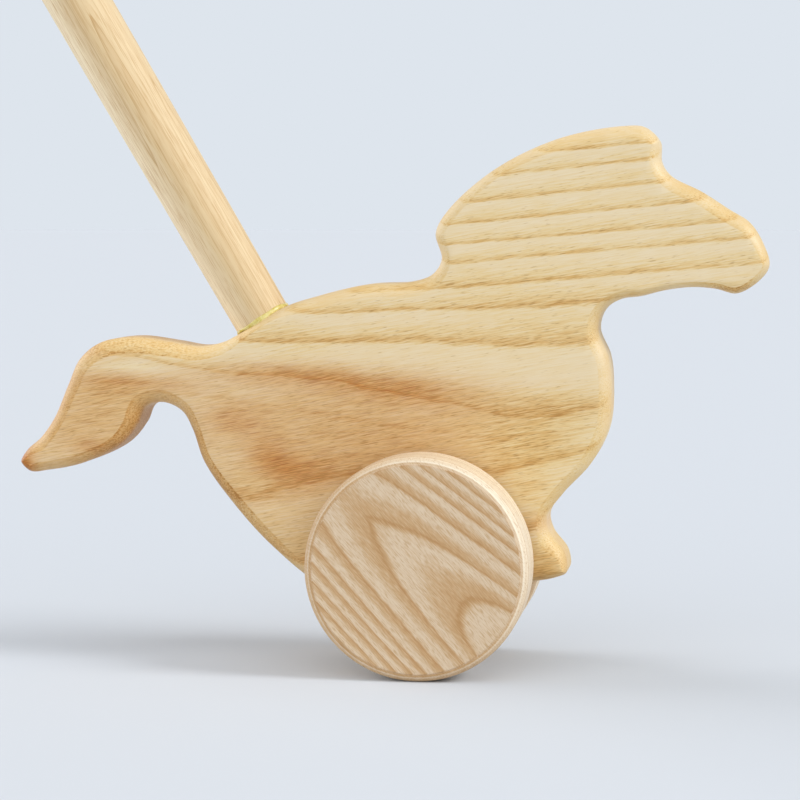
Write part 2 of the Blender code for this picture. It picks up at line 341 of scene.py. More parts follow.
def arc(centre, radius, start, end, steps):
    """Points of a rounded stretch of a profile, both ends included, between two angles in degrees
    from the radial direction."""
    turn = np.radians(np.linspace(start, end, steps + 1))
    return (np.array(centre) + radius * np.stack([np.cos(turn), np.sin(turn)], axis=1)).tolist()


def spots(point, listed):
    """Sum of soft spots on the board: each one's strength falls off by a bell curve that is as wide
    and as tall as it says."""
    x, _, z = (point / MM).T
    ahead, up, wide, tall, strength = np.array(listed, float).T
    away = ((x[:, None] - ahead) / wide) ** 2 + ((z[:, None] - up) / tall) ** 2
    return (strength * np.exp(-away)).sum(axis=1)


def fibres(degrees):
    """Direction of fibres that rise by so many degrees from forward towards up."""
    return np.array((math.cos(math.radians(degrees)), 0, math.sin(math.radians(degrees))))


def horse_loop(steps):
    """Closed curve through the outline's points: cubic spans whose slopes weigh each point's two
    neighbours by the square root of their distance."""
    along = STICK_AHEAD[[0, 2]] * (STICK_FOOT / MM)
    seat = [tuple(np.array(SEAT) - along), tuple(np.array(SEAT) + along)]
    outline = TAIL_TOP + seat + BACK + MANE + EAR + FACE + JAW
    outline += CHEST + HOOF + BELLY + TAIL_ARCH + TAIL_UNDER
    point = np.array(outline) * MM
    after, before = np.roll(point, -1, axis=0), np.roll(point, 1, axis=0)
    knot = np.sqrt(np.linalg.norm(after - point, axis=1))[:, None]
    last = np.roll(knot, 1, axis=0)
    slope = ((point - before) / last * knot + (after - point) / knot * last) / (last + knot)
    t = np.linspace(0, 1, steps, endpoint=False)[None, :, None]
    start, end = (slope * knot)[:, None], (np.roll(slope, -1, axis=0) * knot)[:, None]
    span = (2 * t**3 - 3 * t**2 + 1) * point[:, None] + (3 * t**2 - 2 * t**3) * after[:, None]
    return (span + (t**3 - 2 * t**2 + t) * start + (t**3 - t**2) * end).reshape(-1, 2)


def edge_reach(loop, inward):
    """How far the rounded edge reaches in from each outline point: more on edges that look up, less
    in narrow wood, and changing only gently along the outline.

    A ball that touches the outline at one point and meets another at distance d, in a direction at
    height n along the normal, has the radius d * d / 2 n. The edge reaches no further than a share
    of the smallest such ball.
    """
    between = loop[None] - loop[:, None]
    height = np.einsum("ijk,ik->ij", between, inward)
    square = (between**2).sum(axis=2)
    ball = np.where(height > NEAR, square / np.maximum(2 * height, NEAR), np.inf)
    point = np.stack([loop[:, 0], 0 * loop[:, 0], loop[:, 1]], axis=1)
    upward = np.clip(-inward[:, 1], 0, 1)
    wanted = EDGE_ROUND * (EDGE_SHARE + EDGE_SHARE_UP * upward + spots(point, EDGE_SPOTS))
    reach = np.minimum(wanted, EDGE_OF_BALL * ball.min(axis=1))
    apart = np.linalg.norm(between, axis=2)
    return (reach[None] + EDGE_CHANGE * apart).min(axis=1)


def edge_turn(out):
    """Angle to which the edge's arc has turned at a distance from its start towards the face."""
    return np.arcsin(np.clip(out / EDGE_ROUND, 0, 1) * math.sin(math.radians(EDGE_SWEEP)))


def edge_inset(turn):
    """Share of its reach by which the edge has drawn in at an angle of its arc."""
    return (1 - np.cos(turn)) / (1 - math.cos(math.radians(EDGE_SWEEP)))


def plug(name, radius, low, high, origin, axis):
    """Closed cylinder between two heights along an axis, which cuts a round hole."""
    profile = [(0, low), (radius, low), (radius, high), (0, high)]
    return mesh_of(name, *skin(turned(profile, origin, axis, segments=64)))


def bored(mesh, plugs):
    """The mesh with a hole for each plug."""
    work = into_scene("board", mesh)
    tools = [into_scene("bore", plug_mesh) for plug_mesh in plugs]
    for tool in tools:
        cut = work.modifiers.new("bore", "BOOLEAN")
        cut.solver = "EXACT"
        cut.object = tool
    graph = bpy.context.evaluated_depsgraph_get()
    done = bpy.data.meshes.new_from_object(work.evaluated_get(graph))
    for used in tools + [work]:
        bpy.data.objects.remove(used)
    return done


def gridded(mesh, step):
    """Splits the two flat faces of the board into squares, so that the grain can vary over them."""
    bm = bmesh.new()
    bm.from_mesh(mesh)
    # Only these two look straight along the axle and have many corners
    flat = [f for f in bm.faces if abs(f.normal.y) > 0.99999 and len(f.verts) > 8]
    low, high = positions(mesh).min(axis=0), positions(mesh).max(axis=0)
    for axis in (0, 2):
        for cut in np.arange(low[axis] + step / 2, high[axis], step):
            normal = [0, 0, 0]
            normal[axis] = 1
            # Each face, edge and corner once, always in the same order
            geom = list(dict.fromkeys(part for f in flat for part in (f, *f.edges, *f.verts)))
            done = bmesh.ops.bisect_plane(
                bm, geom=geom, dist=NEAR, plane_co=[cut * n for n in normal], plane_no=normal
            )
            flat = [g for g in done["geom"] if isinstance(g, bmesh.types.BMFace)]
    bm.to_mesh(mesh)
    bm.free()


def board_rings(point):
    """Growth ring of each point of the board, counted upwards, with the share of the ring as
    decimals.

    The rings are circles round the tree's heart, which lay below and behind the board: a point
    belongs to the ring that meets the right face at the same distance from the heart, and there
    the listed curves tell which one it is.
    """
    x, y, z = (point / MM).T
    behind, below = TREE_HEART
    nearer = (y - behind) ** 2 - (BOARD / MM / 2 + behind) ** 2
    height = below + np.sqrt(np.clip((z - below) ** 2 + nearer, 0, None))
    edge = np.stack([np.interp(x, *np.array(curve, float).T) for curve in BOARD_RINGS], axis=1)
    edge = np.maximum.accumulate(edge + RING_LEAST * np.arange(len(BOARD_RINGS)), axis=1)
    last = len(BOARD_RINGS) - 2
    under = np.clip((edge <= height[:, None]).sum(axis=1) - 1, 0, last)[:, None]
    low, high = np.take_along_axis(edge, under, 1), np.take_along_axis(edge, under + 1, 1)
    share = (height[:, None] - low) / np.maximum(high - low, RING_LEAST)
    return (under + np.clip(share, 0, 1))[:, 0] + FIRST_RING


def horse_body(finish):
    """The outline carried through the board's thickness, drawn in along both faces by an arc of an
    ellipse."""
    loop = horse_loop(steps=16)
    ahead = np.roll(loop, -1, axis=0) - np.roll(loop, 1, axis=0)
    inward = np.stack([ahead[:, 1], -ahead[:, 0]], axis=1)
    inward /= np.linalg.norm(inward, axis=1, keepdims=True)
    reach = edge_reach(loop, inward)[:, None]
    turn = np.radians(np.linspace(0, EDGE_SWEEP, EDGE_STEPS))
    inset = edge_inset(turn)
    out = FLAT + EDGE_ROUND * np.sin(turn) / np.sin(turn[-1])
    share = np.concatenate([inset[::-1], np.zeros(3), inset])
    depth = np.concatenate([-out[::-1], FLAT * np.array([-0.5, 0, 0.5]), out])
    ring = loop[None] + inward[None] * reach[None] * share[:, None, None]
    depth = np.broadcast_to(depth[:, None], ring.shape[:2])
    points, faces = skin(np.stack([ring[..., 0], depth, ring[..., 1]], axis=2))
    count = len(loop)
    faces += [list(range(count))[::-1], list(range(len(points) - count, len(points)))]
    board = mesh_of("sawn_board", points, [face[::-1] for face in faces])

    past = 20 * MM  # beyond both faces
    bore = plug("axle bore", AXLE_RADIUS + AXLE_PLAY, -past, past, (0, 0, 0), (0, 1, 0))
    above = 10 * MM  # clear of the back
    bottom = -TENON_LENGTH - GAP
    socket = plug("stick socket", TENON_RADIUS + GAP, bottom, above, STICK_SEAT, STICK_UP)
    board = bored(board, [bore, socket])
    board.name = "oiled_ash_horse"
    gridded(board, step=2.5 * MM)
    shade(board)

    point = positions(board)
    lay(board, "ring", board_rings(point))
    lay(board, "edge", 1 - edge_inset(edge_turn(np.abs(point[:, 1]) - FLAT)))
    lay(board, "honey_and_shade", spots(point, HONEY_AND_SHADE_SPOTS))
    lay(board, "end_grain", np.abs(facing(board) @ fibres(BOARD_GRAIN)))
    lay(board, "heart", spots(point, HEART_SPOTS))
    lay(board, "tongue", spots(point, TONGUE_SPOTS))
    lay(board, "gilt", spots(point, GOLD_SPOTS))
    place(board, "horse", ["horse_body"], finish)


def stick_radius(height):
    """Radius of the stick at a height above its foot."""
    return STICK_FOOT + STICK_SWELL * np.sin(math.pi * height / STICK_LENGTH)


def push_stick(finish):
    """A tenon, a chamfered foot, a long swell of half a sine wave, and a second tenon."""
    thin = TENON_RADIUS - TENON_BEVEL
    end = STICK_LENGTH + KNOB_TENON
    foot = (STICK_FOOT - STICK_CHAMFER, STICK_SHOULDER)
    height = np.linspace(STICK_SHOULDER + STICK_CHAMFER, STICK_LENGTH, 160)
    profile = [(0, -TENON_LENGTH), (thin, -TENON_LENGTH)]
    profile += [(TENON_RADIUS, TENON_BEVEL - TENON_LENGTH), (TENON_RADIUS, STICK_SHOULDER)]
    profile += line(foot, (stick_radius(height[0]), height[0]), 4)
    profile += np.stack([stick_radius(height), height], axis=1).tolist()
    profile += [(TENON_RADIUS, STICK_LENGTH), (TENON_RADIUS, end - TENON_BEVEL)]
    profile += [(thin, end), (0, end)]
    mesh = mesh_of("birch_stick", *skin(turned(profile, STICK_SEAT, STICK_UP, segments=128)))
    # Paler towards the rear and the front: partly sapwood, partly painted light from the side lamps
    rear = (STICK_SEAT - positions(mesh)) @ STICK_AHEAD / STICK_FOOT
    pale = STICK_PALE + np.maximum(STICK_PALE_REAR * rear, -STICK_PALE_FRONT * rear)
    lay(mesh, "sapwood_and_lit_side", np.clip(pale, 0, 1))
    place(mesh, "horse", ["push_stick"], finish)


def glue_bead(finish):
    """A ring whose section is an ellipse: its foot follows the rounded back, and it is thickest in
    front on the right and behind on the left."""
    turn = np.linspace(0, 2 * math.pi, 256, endpoint=False)
    section = np.linspace(0, 2 * math.pi, 24, endpoint=False)[:, None]
    across = np.abs(np.sin(turn)) * (STICK_FOOT + BEAD_OUT)
    drop = EDGE_ROUND * (1 + SEAT_EDGE) * edge_inset(edge_turn(across - FLAT))
    uneven = np.cos(2 * turn + 1.2)
    top = (BEAD_TOP + 0.35 * uneven + 0.1 * np.sin(7 * turn)) * MM
    width = (BEAD_WIDTH + 0.12 * uneven + 0.04 * np.sin(5 * turn)) * MM
    foot = BEAD_FOOT - drop
    height = (top + foot) / 2 + (top - foot) / 2 * np.sin(section)
    radius = STICK_FOOT + width * np.cos(section)
    left = np.cross(STICK_UP, STICK_AHEAD)
    ring = np.cos(turn)[:, None] * STICK_AHEAD + np.sin(turn)[:, None] * left
    rows = STICK_SEAT + radius[:, :, None] * ring + height[:, :, None] * STICK_UP
    mesh = mesh_of("squeezed_out_glue", *skin(rows, round_rows=True))
    place(mesh, "horse", ["stick_glue_bead"], finish)


def hand_knob(finish):
    """A ball with a flat that sits on the stick, and a blind bore."""
    base = STICK_LENGTH + GAP
    flat = float(stick_radius(STICK_LENGTH)) + KNOB_SHOULDER
    centre = base + math.sqrt(KNOB_RADIUS**2 - flat**2)
    hole = TENON_RADIUS + GAP
    start = -math.degrees(math.asin((centre - base) / KNOB_RADIUS))
    profile = [(0, base + KNOB_TENON), (hole, base + KNOB_TENON), (hole, base)]
    profile += arc((0, centre), KNOB_RADIUS, start, 90, 64)[:-1] + [(0, centre + KNOB_RADIUS)]
    mesh = mesh_of("birch_knob", *skin(turned(profile, STICK_SEAT, STICK_UP, segments=128)))
    lay(mesh, "sapwood_and_lit_side", np.full(len(mesh.vertices), KNOB_PALE))
    place(mesh, "horse", ["hand_knob"], finish)


def wheel_rings(point, side, aside):
    """Growth rings of a disc sawn along the tree: circles round a heart that lay behind the disc's
    outer face and leaned, so that they show as nested arches, the outer ones drawn to a point along
    their middle line, which runs aside of the axle."""
    turn = math.radians(WHEEL_LEAN)
    ahead = point[:, 0] * math.cos(turn) + point[:, 2] * math.sin(turn)
    across = -point[:, 0] * math.sin(turn) + point[:, 2] * math.cos(turn)
    inside = WHEEL_OFFSET + WHEEL_WIDTH - side * point[:, 1]
    width = np.abs(across - aside)
    slope = HEART_SLOPE - SLOPE_LOSS * np.clip(width / MM / SLOPE_WIDTH - 1, 0, 1)
    heart = WHEEL_HEART - slope * (ahead + WHEEL_HEART_BACK) - inside
    pointed = ARCH_POINT * np.clip((np.hypot(width, heart) - ARCH_START) / ARCH_BLEND, 0, 1)
    radius = np.sqrt(width * (width + pointed) + heart**2)
    return np.interp(radius / MM, WHEEL_RINGS, np.arange(len(WHEEL_RINGS))) + WHEEL_RISE


def wheel(name, side, aside, finish):
    """A disc whose flat face stands a little above its rounded rim, with a blind bore on the inner
    side."""
    face = WHEEL_RADIUS - WHEEL_ROUND
    hole = AXLE_RADIUS + GAP
    deep = WHEEL_BORE_DEPTH
    low, high = WHEEL_STEP + WHEEL_ROUND, WHEEL_WIDTH - WHEEL_STEP - WHEEL_ROUND
    profile = line((0, deep), (hole, deep), 3) + line((hole, deep), (hole, 0), 4)
    profile += line((hole, 0), (face, 0), 20) + [(face, 0)]
    profile += arc((face, low), WHEEL_ROUND, -90, 0, 10)[:-1]
    profile += line((WHEEL_RADIUS, low), (WHEEL_RADIUS, high), 10)
    profile += arc((face, high), WHEEL_ROUND, 0, 90, 10)
    profile += line((face, WHEEL_WIDTH), (0, WHEEL_WIDTH), 24) + [(0, WHEEL_WIDTH)]
    rows = turned(profile, (0, side * WHEEL_OFFSET, 0), (0, side, 0), segments=256)
    mesh = mesh_of(f"ash_wheel_{name}", *skin(rows))
    point = positions(mesh)
    out = np.hypot(point[:, 0], point[:, 2])
    # Painted light: the rim grows paler towards the side that the right lamp lights
    towards = (point @ fibres(LIT_RIM_SIDE)) / WHEEL_RADIUS
    lay(mesh, "ring", wheel_rings(point, side, aside))
    lay(mesh, "rim", (out > face + RIM_START).astype(float))
    lay(mesh, "sapwood_and_lit_side", np.clip(RIM_PALE + (1 - RIM_PALE) * towards, 0, 1))
    lay(mesh, "lathe", (side * point[:, 1] - out) / MM)
    place(mesh, "wheel_set", [f"wheel_{name}"], finish)


def axle(finish):
    """A straight dowel with bevelled ends."""
    half = AXLE_LENGTH / 2
    bevel = 0.8 * MM
    profile = [(0, -half), (AXLE_RADIUS - bevel, -half), (AXLE_RADIUS, bevel - half)]
    profile += [(AXLE_RADIUS, half - bevel), (AXLE_RADIUS - bevel, half), (0, half)]
    mesh = mesh_of("beech_axle", *skin(turned(profile, (0, 0, 0), (0, 1, 0), segments=96)))
    place(mesh, "wheel_set", ["axle"], finish)


def spacer(name, side, finish):
    """A flat ring, bevelled round the outside."""
    inner, outer, thick = AXLE_RADIUS + GAP, SPACER_RADIUS, SPACER_THICKNESS
    bevel = 0.15 * MM
    profile = [(inner, 0), (outer - bevel, 0), (outer, bevel)]
    profile += [(outer, thick - bevel), (outer - bevel, thick), (inner, thick)]
    rows = turned(profile, (0, side * (BOARD / 2 + GAP), 0), (0, side, 0), segments=96)
    mesh = mesh_of(f"fibre_washer_{name}", *skin(rows, round_rows=True))
    place(mesh, "wheel_set", [f"spacer_{name}"], finish)


def colour(hexed):
    """Linear colour from an sRGB hex code."""
    parts = np.array([int(hexed[i:i + 2], 16) for i in (1, 3, 5)]) / 255
    linear = np.where(parts <= 0.04045, parts / 12.92, ((parts + 0.055) / 1.055) ** 2.4)
    return (*linear.tolist(), 1)


def put(tree, kind, links=None, stops=None, steps=False, **settings):
    """Adds a node.

    links maps an input to a value, a node (its first output) or a pair of node and output. stops
    are the places and values of a ramp, which jumps from one to the next if steps is set.

    Inputs by number: a Math node works on 0, 1 and 2. A ramp and a MapRange take 0, and the second
    reads it from 1 to 2 and gives 3 to 4. A Mix goes by the share 0 from 2 to 3 for numbers, or
    from 6 to 7 for colours, which come out of its output 2.
    """
    made = tree.nodes.new("ShaderNode" + kind)
    for name, value in settings.items():
        setattr(made, name, value)
    for key, value in (links or {}).items():
        if isinstance(value, bpy.types.Node):
            value = (value, 0)
        if isinstance(value, tuple) and isinstance(value[0], bpy.types.Node):
            tree.links.new(value[0].outputs[value[1]], made.inputs[key])
        else:
            made.inputs[key].default_value = value
    if stops:
        made.color_ramp.interpolation = "CONSTANT" if steps else "LINEAR"
        points = made.color_ramp.elements
        for i, (at, value) in enumerate(stops):
            point = points[i] if i < len(points) else points.new(at)
            point.position = at
            point.color = colour(value) if isinstance(value, str) else (value, value, value, 1)
    return made


def blank(name):
    """New material with its node tree and its shader."""
    made = bpy.data.materials.new(name)
    made.use_nodes = True
    return made, made.node_tree, made.node_tree.nodes["Principled BSDF"]


def streaks(tree, degrees, length, width, detail=2.0):
    """Noise drawn out along the fibres: its grains are length mm long and width mm wide.

    Real pores are 0.1 to 0.3 mm wide. The finishes draw none under 0.25 mm, so that they show.
    """
    where = put(tree, "TexCoord")
    stretched = put(tree, "Mapping", {
        0: (where, "Object"), "Rotation": (0, -math.radians(degrees), 0),
        "Scale": (length * MM, width * MM, width * MM),
    }, vector_type="TEXTURE")
    return put(tree, "TexNoise", {
        "Vector": stretched, "Scale": 1.0, "Detail": detail, "Roughness": 0.55,
    })


def ring_number(tree, degrees, bend, tear):
    """The stored growth ring, bent gently along the tree and torn finely by the pores, in shares of
    a ring."""
    number = put(tree, "Attribute", attribute_name="ring")
    gentle, ragged = streaks(tree, degrees, 55, 9), streaks(tree, degrees, 5, 0.4)
    bent = put(tree, "MapRange", {0: gentle, 1: 0.0, 2: 1.0, 3: -bend / 2, 4: bend / 2})
    torn = put(tree, "MapRange", {0: ragged, 1: 0.0, 2: 1.0, 3: -tear / 2, 4: tear / 2})
    wavy = put(tree, "Math", {0: bent, 1: torn}, operation="ADD")
    return put(tree, "Math", {0: (number, "Fac"), 1: wavy}, operation="ADD")


def ring_level(ring):
    """Place of a growth ring among all of the board's, from 0 to 1."""
    return (ring - FIRST_RING) / (len(BOARD_RINGS) - 1)


def oiled_ash():
    """Ash board, sanded and oiled: golden rows of open pores in pale wood, a streaky brown heart,
    speckled ends, a soft sheen, and rounded edges that took up a little more oil, with painted
    shade in a line where they meet the faces and under the jaw."""
    made, tree, shader = blank("ash, sanded and oiled")
    edge = put(tree, "Attribute", attribute_name="edge")
    ends = put(tree, "Attribute", attribute_name="end_grain")
    heart = put(tree, "Attribute", attribute_name="heart")
    tongue = put(tree, "Attribute", attribute_name="tongue")
    gilt = put(tree, "Attribute", attribute_name="gilt")
    honey_and_shade = put(tree, "Attribute", attribute_name="honey_and_shade")
    number = ring_number(tree, BOARD_GRAIN, 0.16, 0.2)
    number = put(tree, "Math", {0: number, 1: RING_RISE}, operation="ADD")
    share = put(tree, "Math", {0: number}, operation="FRACT")
    last_ring = FIRST_RING + len(BOARD_RINGS) - 1
    level = put(tree, "MapRange", {0: number, 1: FIRST_RING, 2: last_ring})

    # Early wood of each ring, and brown that licks up from one of them
    reach, golden, browned = (
        put(tree, "ValToRGB", {0: level}, steps=True, stops=[
            (ring_level(ring), early[i]) for ring, early in EARLY_WOOD.items()
        ])
        for i in range(3)
    )
    rise = put(tree, "MapRange", {0: share, 2: RING_RISE}, interpolation_type="SMOOTHSTEP")
    smooth = put(tree, "MapRange", {0: (edge, "Fac"), 3: 1.0, 4: 0.3})
    rise = put(tree, "Math", {0: rise, 1: smooth}, operation="MULTIPLY")
    past = put(tree, "Math", {0: share, 1: RING_RISE}, operation="SUBTRACT")
    fall = put(tree, "Math", {0: past, 1: reach}, operation="DIVIDE")
    fall = put(tree, "ValToRGB", {0: fall}, stops=[
        (0.0, 1.0), (0.08, 0.85), (0.18, 0.5), (0.4, 0.3), (0.7, 0.12), (1.0, 0.0),
    ])
    early = put(tree, "Math", {0: rise, 1: fall}, operation="MULTIPLY")
    licking = put(tree, "ValToRGB", {0: level}, steps=True, stops=[
        (ring_level(FIRST_RING), 0.0), (ring_level(2), 0.72), (ring_level(3), 0.0),
    ])
    licking = put(tree, "Math", {0: licking, 1: (tongue, "Fac")}, operation="MULTIPLY")
    lick = put(tree, "Math", {0: past, 1: 0.75}, operation="DIVIDE")
    lick = put(tree, "ValToRGB", {0: lick}, stops=[
        (0.0, 1.0), (0.25, 0.85), (0.5, 0.4), (0.75, 0.12), (1.0, 0.0),
    ])
    lick = put(tree, "Math", {0: rise, 1: lick}, operation="MULTIPLY")
    lick = put(tree, "Math", {0: licking, 1: lick}, operation="MULTIPLY")

    # Gold in the early wood and on the edges, in streaks along the fibres
    broad = put(tree, "MapRange", {
        0: streaks(tree, BOARD_GRAIN, 40, 3), 1: 0.3, 2: 0.7, 3: 0.93, 4: 1.07,
    })
    fine = put(tree, "MapRange", {
        0: streaks(tree, BOARD_GRAIN + 1, 7, 0.33), 1: 0.3, 2: 0.7, 3: 0.65, 4: 1.35,
    })
    speckle = put(tree, "MapRange", {
        0: streaks(tree, BOARD_GRAIN, 0.9, 0.5), 1: 0.4, 2: 0.65, 3: 0.35, 4: 1.65,
    })
    streaky = put(tree, "Math", {0: broad, 1: fine}, operation="MULTIPLY")
    gold = put(tree, "Math", {0: early, 1: golden, 2: (gilt, "Fac")}, operation="MULTIPLY_ADD")
    gold = put(tree, "Math", {0: gold, 1: streaky}, operation="MULTIPLY")
    faint = put(tree, "MapRange", {0: streaky, 1: 0.6, 2: 1.4, 3: -0.06, 4: 0.14})
    gold = put(tree, "Math", {0: gold, 1: faint}, operation="ADD")
    band = put(tree, "ValToRGB", {0: (edge, "Fac")}, stops=[
        (0.0, 0.0), (0.08, 1.0), (0.25, 0.55), (1.0, 0.85),
    ])
    # Honey on the edges; the spot under the jaw is painted shade
    band = put(tree, "Math", {0: (honey_and_shade, "Fac"), 1: band}, operation="MULTIPLY")
    gold = put(tree, "Math", {0: band, 1: speckle, 2: gold}, operation="MULTIPLY_ADD")
    wood = put(tree, "ValToRGB", {0: gold}, stops=[
        (0.0, "#e9d6b2"), (0.2, "#e5cb95"), (0.45, "#dab370"), (0.75, "#c9984c"), (1.0, "#b27f3b"),
    ])

    # Brown heart between the rings that hold it, in the dark early wood and, speckled, on the ends
    # of the fibres
    held = put(tree, "ValToRGB", {0: level}, stops=[
        (ring_level(-0.12), 0.65), (ring_level(0), 1.0),
        (ring_level(2), 1.0), (ring_level(2.136), 0.08),
    ])
    brown = put(tree, "Math", {0: held, 1: (heart, "Fac")}, operation="MULTIPLY")
    brown = put(tree, "Math", {0: brown, 1: broad}, operation="MULTIPLY")
    smoke = put(tree, "ValToRGB", {0: level}, stops=[
        (ring_level(1.48), 0.0), (ring_level(2), 0.4), (ring_level(2.136), 0.0),
    ])
    brown = put(tree, "Math", {0: smoke, 1: (tongue, "Fac"), 2: brown}, operation="MULTIPLY_ADD")
    dark = put(tree, "Math", {0: early, 1: browned}, operation="MULTIPLY")
    brown = put(tree, "Math", {0: dark, 1: fine, 2: brown}, operation="MULTIPLY_ADD")
    brown = put(tree, "Math", {0: lick, 1: brown}, operation="ADD")
    endwise = put(tree, "Math", {0: (ends, "Fac"), 1: (edge, "Fac")}, operation="MULTIPLY")
    endwise = put(tree, "Math", {0: endwise, 1: (heart, "Fac")}, operation="MULTIPLY")
    endwise = put(tree, "Math", {0: endwise, 1: speckle}, operation="MULTIPLY")
    brown = put(
        tree, "Math", {0: endwise, 1: 0.35, 2: brown}, operation="MULTIPLY_ADD", use_clamp=True
    )
    wood = put(
        tree, "Mix", {0: brown, 6: wood, 7: colour("#e0a74c")},
        data_type="RGBA", blend_type="MULTIPLY",
    )
    fibre = put(tree, "MapRange", {
        0: streaks(tree, BOARD_GRAIN + 2, 8, 0.25), 1: 0.46, 2: 0.62,
    })
    fibre = put(tree, "Math", {0: fibre, 1: brown}, operation="MULTIPLY")
    wood = put(
        tree, "Mix", {0: fibre, 6: (wood, 2), 7: colour("#c59d66")},
        data_type="RGBA", blend_type="MULTIPLY",
    )

    # Open pores: short dashes, close together in the early wood
    crowd = put(tree, "Math", {0: brown, 1: 0.3, 2: gold}, operation="MULTIPLY_ADD")
    short = streaks(tree, BOARD_GRAIN + 2, 3.5, 0.28, 1.0)
    rows = put(tree, "Math", {0: crowd, 1: 0.4, 2: short}, operation="MULTIPLY_ADD")
    pores = put(tree, "MapRange", {0: rows, 1: 0.7, 2: 0.86})
    dashes = put(tree, "Math", {0: pores, 1: 0.65}, operation="MULTIPLY")
    wood = put(tree, "Mix", {0: dashes, 6: (wood, 2), 7: colour("#a67831")}, data_type="RGBA")
    bump = put(
        tree, "Bump", {"Strength": 0.15, "Distance": 0.1 * MM, "Height": pores}, invert=True
    )

    # Oil that soaked into the rounded edges, and painted shade: a darker line where they meet the
    # faces
    worn = put(tree, "MapRange", {
        0: streaks(tree, BOARD_GRAIN, 26, 12), 1: 0.4, 2: 0.62, 3: 0.35, 4: 1.0,
    })
    # The darker stop near the start of the edge is painted shade in the crease
    soaked_and_crease_shade = put(tree, "ValToRGB", {0: (edge, "Fac")}, stops=[
        (0.0, "#ffffff"), (0.1, "#f6ebd2"), (0.35, "#f7efdc"), (1.0, "#f9edd4"),
    ])
    wood = put(
        tree, "Mix", {0: worn, 6: (wood, 2), 7: soaked_and_crease_shade}, data_type="RGBA", blend_type="MULTIPLY"
    )
    tree.links.new(wood.outputs[2], shader.inputs["Base Color"])
    tree.links.new(bump.outputs[0], shader.inputs["Normal"])
    shader.inputs["Roughness"].default_value = 0.5
    shader.inputs["Coat Weight"].default_value = 0.1
    shader.inputs["Coat Roughness"].default_value = 0.4
    return made


def bare_ash():
    """Ash disc, turned and left bare: greyer than the board, with fine pointed arches, a rim that
    keeps faint lines from the lathe, painted light that makes the rim paler towards the right lamp,
    and no sheen."""
    made, tree, shader = blank("ash, turned and left bare")
    rim = put(tree, "Attribute", attribute_name="rim")
    sapwood_and_lit_side = put(tree, "Attribute", attribute_name="sapwood_and_lit_side")
    lathe = put(tree, "Attribute", attribute_name="lathe")

    # Early wood of each ring, and on the rim lines from the lathe. These are about 1 mm apart,
    # coarser than real ones, so that they show
    share = ring_number(tree, WHEEL_GRAIN, 0.2, 0.14)
    share = put(tree, "Math", {0: share}, operation="FRACT")
    early = put(tree, "ValToRGB", {0: share}, stops=[
        (0.0, 0.25), (0.06, 0.7), (WHEEL_RISE, 1.0), (0.14, 0.66), (0.42, 0.46), (0.6, 0.16),
        (0.85, 0.04), (1.0, 0.25),
    ])
    lines = put(
        tree, "TexNoise", {"W": (lathe, "Fac"), "Scale": 1.1, "Detail": 1.0}, noise_dimensions="1D"
    )
    turned_off = put(tree, "MapRange", {0: lines, 1: 0.4, 2: 0.6, 3: 0.1, 4: 0.7})
    covered = put(tree, "Math", {0: (rim, "Fac"), 1: 0.88}, operation="MULTIPLY")
    early = put(tree, "Mix", {0: covered, 2: early, 3: turned_off})
    fine = put(tree, "MapRange", {
        0: streaks(tree, WHEEL_GRAIN - 1, 4, 0.32), 1: 0.3, 2: 0.7, 3: -0.24, 4: 0.24,
    })
    amount = put(tree, "Math", {0: early, 1: fine}, operation="ADD")
    wood = put(tree, "ValToRGB", {0: amount}, stops=[
        (0.0, "#dcc6a9"), (0.3, "#d1b591"), (0.6, "#c7a275"), (1.0, "#b68a57"),
    ])

    # Painted light that makes the rim paler towards the right lamp, then the pores, which are fewer
    # on the rim
    lines = put(tree, "MapRange", {0: lines, 1: 0.4, 2: 0.6, 3: 1.0, 4: 0.45})
    pale = put(tree, "Math", {0: (rim, "Fac"), 1: (sapwood_and_lit_side, "Fac")}, operation="MULTIPLY")
    pale = put(tree, "Math", {0: pale, 1: lines}, operation="MULTIPLY")
    wood = put(tree, "Mix", {0: pale, 6: wood, 7: colour("#f6ead2")}, data_type="RGBA")
    short = streaks(tree, WHEEL_GRAIN - 4, 3, 0.33, 1.0)
    rows = put(tree, "Math", {0: early, 1: 0.1, 2: short}, operation="MULTIPLY_ADD")
    rows = put(tree, "Math", {0: (rim, "Fac"), 1: -0.06, 2: rows}, operation="MULTIPLY_ADD")
    pores = put(tree, "MapRange", {0: rows, 1: 0.54, 2: 0.68, 3: 0.0, 4: 0.55})
    wood = put(tree, "Mix", {0: pores, 6: (wood, 2), 7: colour("#b8915f")}, data_type="RGBA")
    tree.links.new(wood.outputs[2], shader.inputs["Base Color"])
    shader.inputs["Roughness"].default_value = 0.6
    return made


